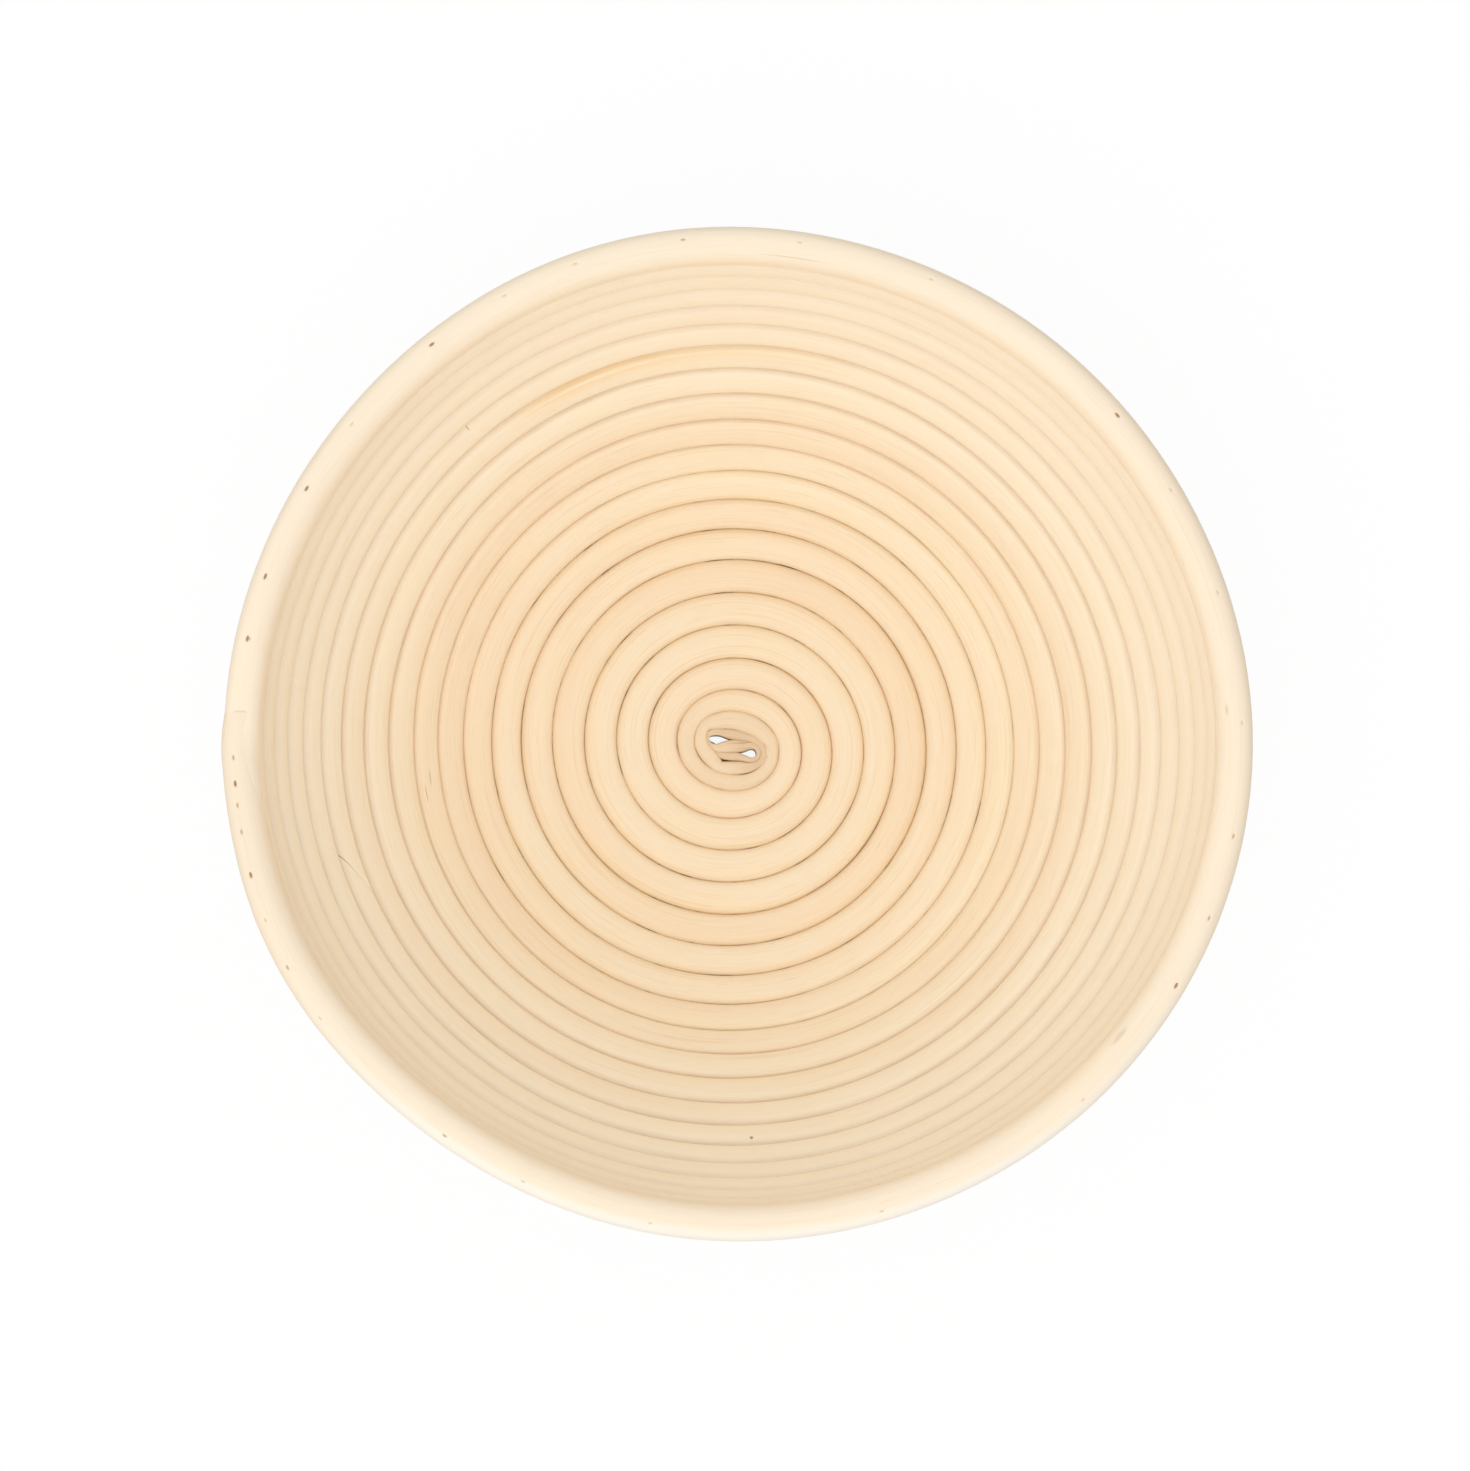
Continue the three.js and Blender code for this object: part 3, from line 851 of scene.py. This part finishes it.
def rattan():
    """Peeled rattan cane: fine fibres along it, pores and slow changes of tone; brown painted shade where
    turns meet and in the core's gaps; a browner core, partly painted shade; painted shade on the floor turns
    and the rim, painted light on the wall and a painted highlight on the rim's lower outer edge.
    """
    made, tree, shader = new_material("rattan_cane")
    place = known(tree, "grain", "Vector")
    parts = add(tree, "ShaderNodeSeparateXYZ", {0: place}).outputs
    values = {"across": parts["X"], "inward": parts["Y"]}
    for name in ("turn", "edge", "pit", "core"):
        values[name] = known(tree, name)
    for name, (across, along, detail, roughness) in GRAIN.items():
        values[name] = noise(tree, place, (across, across, along), detail, roughness)
    on_wall = darkest_mark(tree, values["turn"], values["across"], WALL_MARKS)
    on_wall = calc(tree, "MULTIPLY", on_wall, ramp(tree, values["inward"], *FACE_SPAN))
    on_rim = darkest_mark(tree, values["turn"], values["inward"], RIM_MARKS)
    on_rim = calc(tree, "MULTIPLY", on_rim, ramp(tree, values["across"], *FACE_SPAN))
    values["marks"] = calc(tree, "MAXIMUM", on_wall, on_rim)
    # Painted light on the wall turns
    values["paleness"] = stepped(tree, values["turn"], PAINTED_LIGHT, PAINTED_LIGHT_STEPS)
    # Painted shade where turns meet
    values["lines"] = painted_line_shade(tree, values)
    colour = rgb(*CREAM)
    for tint, strength, rules in TINTS.values():
        factors = [followed(tree, values, *rule) for rule in rules]
        colour = blended(tree, product(tree, strength, *factors), colour, rgb(*tint))
    tree.links.new(colour, shader.inputs["Base Color"])
    shader.inputs["Roughness"].default_value = CANE_ROUGHNESS
    shader.inputs["Specular IOR Level"].default_value = CANE_SHINE
    pores = calc(tree, "MULTIPLY", ramp(tree, values["pores"], *PORE_SPAN), PORE_RELIEF)
    relief = calc(tree, "SUBTRACT", values["fibre"], pores)
    bump = {"Strength": BUMP_STRENGTH, "Distance": BUMP_DISTANCE, "Height": relief}
    tree.links.new(add(tree, "ShaderNodeBump", bump).outputs[0], shader.inputs["Normal"])
    return made


def nail_steel():
    """Dull brad steel, darkened and a little rusty."""
    made, tree, shader = new_material("nail_steel_dull")
    place = add(tree, "ShaderNodeTexCoord").outputs["Object"]
    values = {"Vector": place, "Scale": RUST_WAVES, "Detail": RUST_DETAIL}
    rust = add(tree, "ShaderNodeTexNoise", values).outputs["Fac"]
    colour = blended(tree, ramp(tree, rust, *RUST_SPAN), rgb(*STEEL), rgb(*RUST))
    tree.links.new(colour, shader.inputs["Base Color"])
    tree.links.new(ramp(tree, rust, *STEEL_ROUGHNESS_SPAN), shader.inputs["Roughness"])
    shader.inputs["Metallic"].default_value = STEEL_METALLIC
    return made


def seen_directly(tree):
    """1 for rays from the camera or by way of a mirror or glass, otherwise 0."""
    path = add(tree, "ShaderNodeLightPath").outputs
    either = calc(tree, "MAXIMUM", path["Is Camera Ray"], path["Is Glossy Ray"])
    return calc(tree, "MAXIMUM", either, path["Is Transmission Ray"])


# The two lengths of cane
nails = rim_nails()
base_turns = grid(SPIRAL_START, SPLICE_TURN)
rim_turns = rim_grid(SPLICE_TURN, LAST_TURN, nails)
fold = folded(even_angles())
fold_turns = np.linspace(SPIRAL_START - FOLD_TURNS, SPIRAL_START, len(fold[0]), endpoint=False)
fold_share = np.linspace(0, 1, len(fold[0]))
# Darker core tone: partly the core's own colour, partly painted shade of its recessed strands
fold_core = CORE_TONE + (1 - CORE_TONE) * np.clip((CORE_TONE_TO - fold_share) / CORE_TONE_BLEND, 0, 1)
from_pale = np.abs(fold_share - PALE_FOLD_AT)
fold_core -= PALE_FOLD * np.clip((PALE_FOLD_REACH - from_pale) / PALE_FOLD_BLEND, 0, 1)
base_core = CORE_TONE * np.clip((CORE_LAST_TURN - base_turns) / CORE_LAST_BLEND, 0, 1)
base_sections = joined(fold, wound(base_turns, even_angles()))
rim_sections = wound(rim_turns, rim_angles(), nails)

cane_material = rattan()
base = cane(
    "base_cane_wound",
    base_sections,
    np.concatenate([fold_turns, base_turns]),
    np.concatenate([fold_core, base_core]),
)
rim = cane("rim_cane_wound", rim_sections, rim_turns, np.zeros(len(rim_turns)))
for piece, node in ((base, "base_cane"), (rim, "rim_cane")):
    piece.data.materials.append(cane_material)
    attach(piece, "root")
    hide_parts(node)

# The nails
steel = nail_steel()
for number, foot, head in nails:
    piece = brad(f"rim_brad_{number:02d}", foot, head)
    piece.data.materials.append(steel)
    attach(piece, "root")
    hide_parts(f"rim_nail_{number:02d}")
for name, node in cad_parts.items():
    if "nail" in name:
        for slot in node.material_slots:
            slot.material = steel

# Floor
reach = FLOOR_SIZE / 2
corners = [(x, y, FLOOR_AT) for x, y in ((-reach, -reach), (reach, -reach), (reach, reach), (-reach, reach))]
floor_mesh = bpy.data.meshes.new("floor")
floor_mesh.from_pydata(corners, [], [(0, 1, 2, 3)])
floor = placed_in_scene("floor", floor_mesh)
floor_material = bpy.data.materials.new("floor_white")
tree = emptied(floor_material)
matte = add(tree, "ShaderNodeBsdfDiffuse", {"Color": FLOOR_GREY}).outputs[0]
shaded = add(tree, "ShaderNodeBsdfDiffuse", {"Color": WHITE}).outputs[0]
white = add(tree, "ShaderNodeEmission", {"Color": WHITE, "Strength": 1.0}).outputs[0]
faint = add(tree, "ShaderNodeMixShader", {0: SHADOW_SHARE, 1: white, 2: shaded}).outputs[0]
surface = add(tree, "ShaderNodeMixShader", {0: seen_directly(tree), 1: matte, 2: faint}).outputs[0]
tree.links.new(surface, add(tree, "ShaderNodeOutputMaterial").inputs["Surface"])
floor_mesh.materials.append(floor_material)

# Soft light, white where it is seen directly
world = bpy.data.worlds.new("studio")
bpy.context.scene.world = world
tree = emptied(world)
way = add(tree, "ShaderNodeTexCoord").outputs["Generated"]
soft = even_ramp(tree, dot(tree, way, SOFT_FROM), (-1.0, 1.0), (SOFT_LEAST, SOFT_MOST))
aside = ramp(tree, dot(tree, way, DIM_FROM), *DIM_ASIDE)
low = ramp(tree, add(tree, "ShaderNodeSeparateXYZ", {0: way}).outputs["Z"], *DIM_LOW)
soft = calc(tree, "MULTIPLY", soft, calc(tree, "SUBTRACT", 1.0, product(tree, aside, low, DIM_SHARE)))
around = add(tree, "ShaderNodeBackground", {"Color": WHITE, "Strength": soft}).outputs[0]
backdrop = add(tree, "ShaderNodeBackground", {"Color": WHITE, "Strength": 1.0}).outputs[0]
mixed = add(tree, "ShaderNodeMixShader", {0: seen_directly(tree), 1: around, 2: backdrop}).outputs[0]
tree.links.new(mixed, add(tree, "ShaderNodeOutputWorld").inputs["Surface"])

# Key light
key_data = bpy.data.lights.new("key", "AREA")
key_data.shape = "DISK"
key_data.size = KEY_SIZE
key_data.energy = KEY_POWER
key = placed_in_scene("key", key_data)
key.location = KEY_FROM
key.rotation_euler = (-KEY_FROM).to_track_quat("-Z", "Y").to_euler()

# Camera
camera_data = bpy.data.cameras.new("camera")
camera_data.lens = CAMERA_LENS
camera_data.sensor_width = CAMERA_SENSOR
camera = placed_in_scene("camera", camera_data)
forward = (CAMERA_AT - CAMERA_FROM).normalized()
right = forward.cross(Vector((0, 1, 0))).normalized()
upward = right.cross(forward)
turned = Matrix((right, upward, -forward)).transposed().to_4x4()
camera.matrix_world = Matrix.Translation(CAMERA_FROM) @ turned
bpy.context.scene.camera = camera

bpy.context.scene.view_settings.view_transform = "Standard"
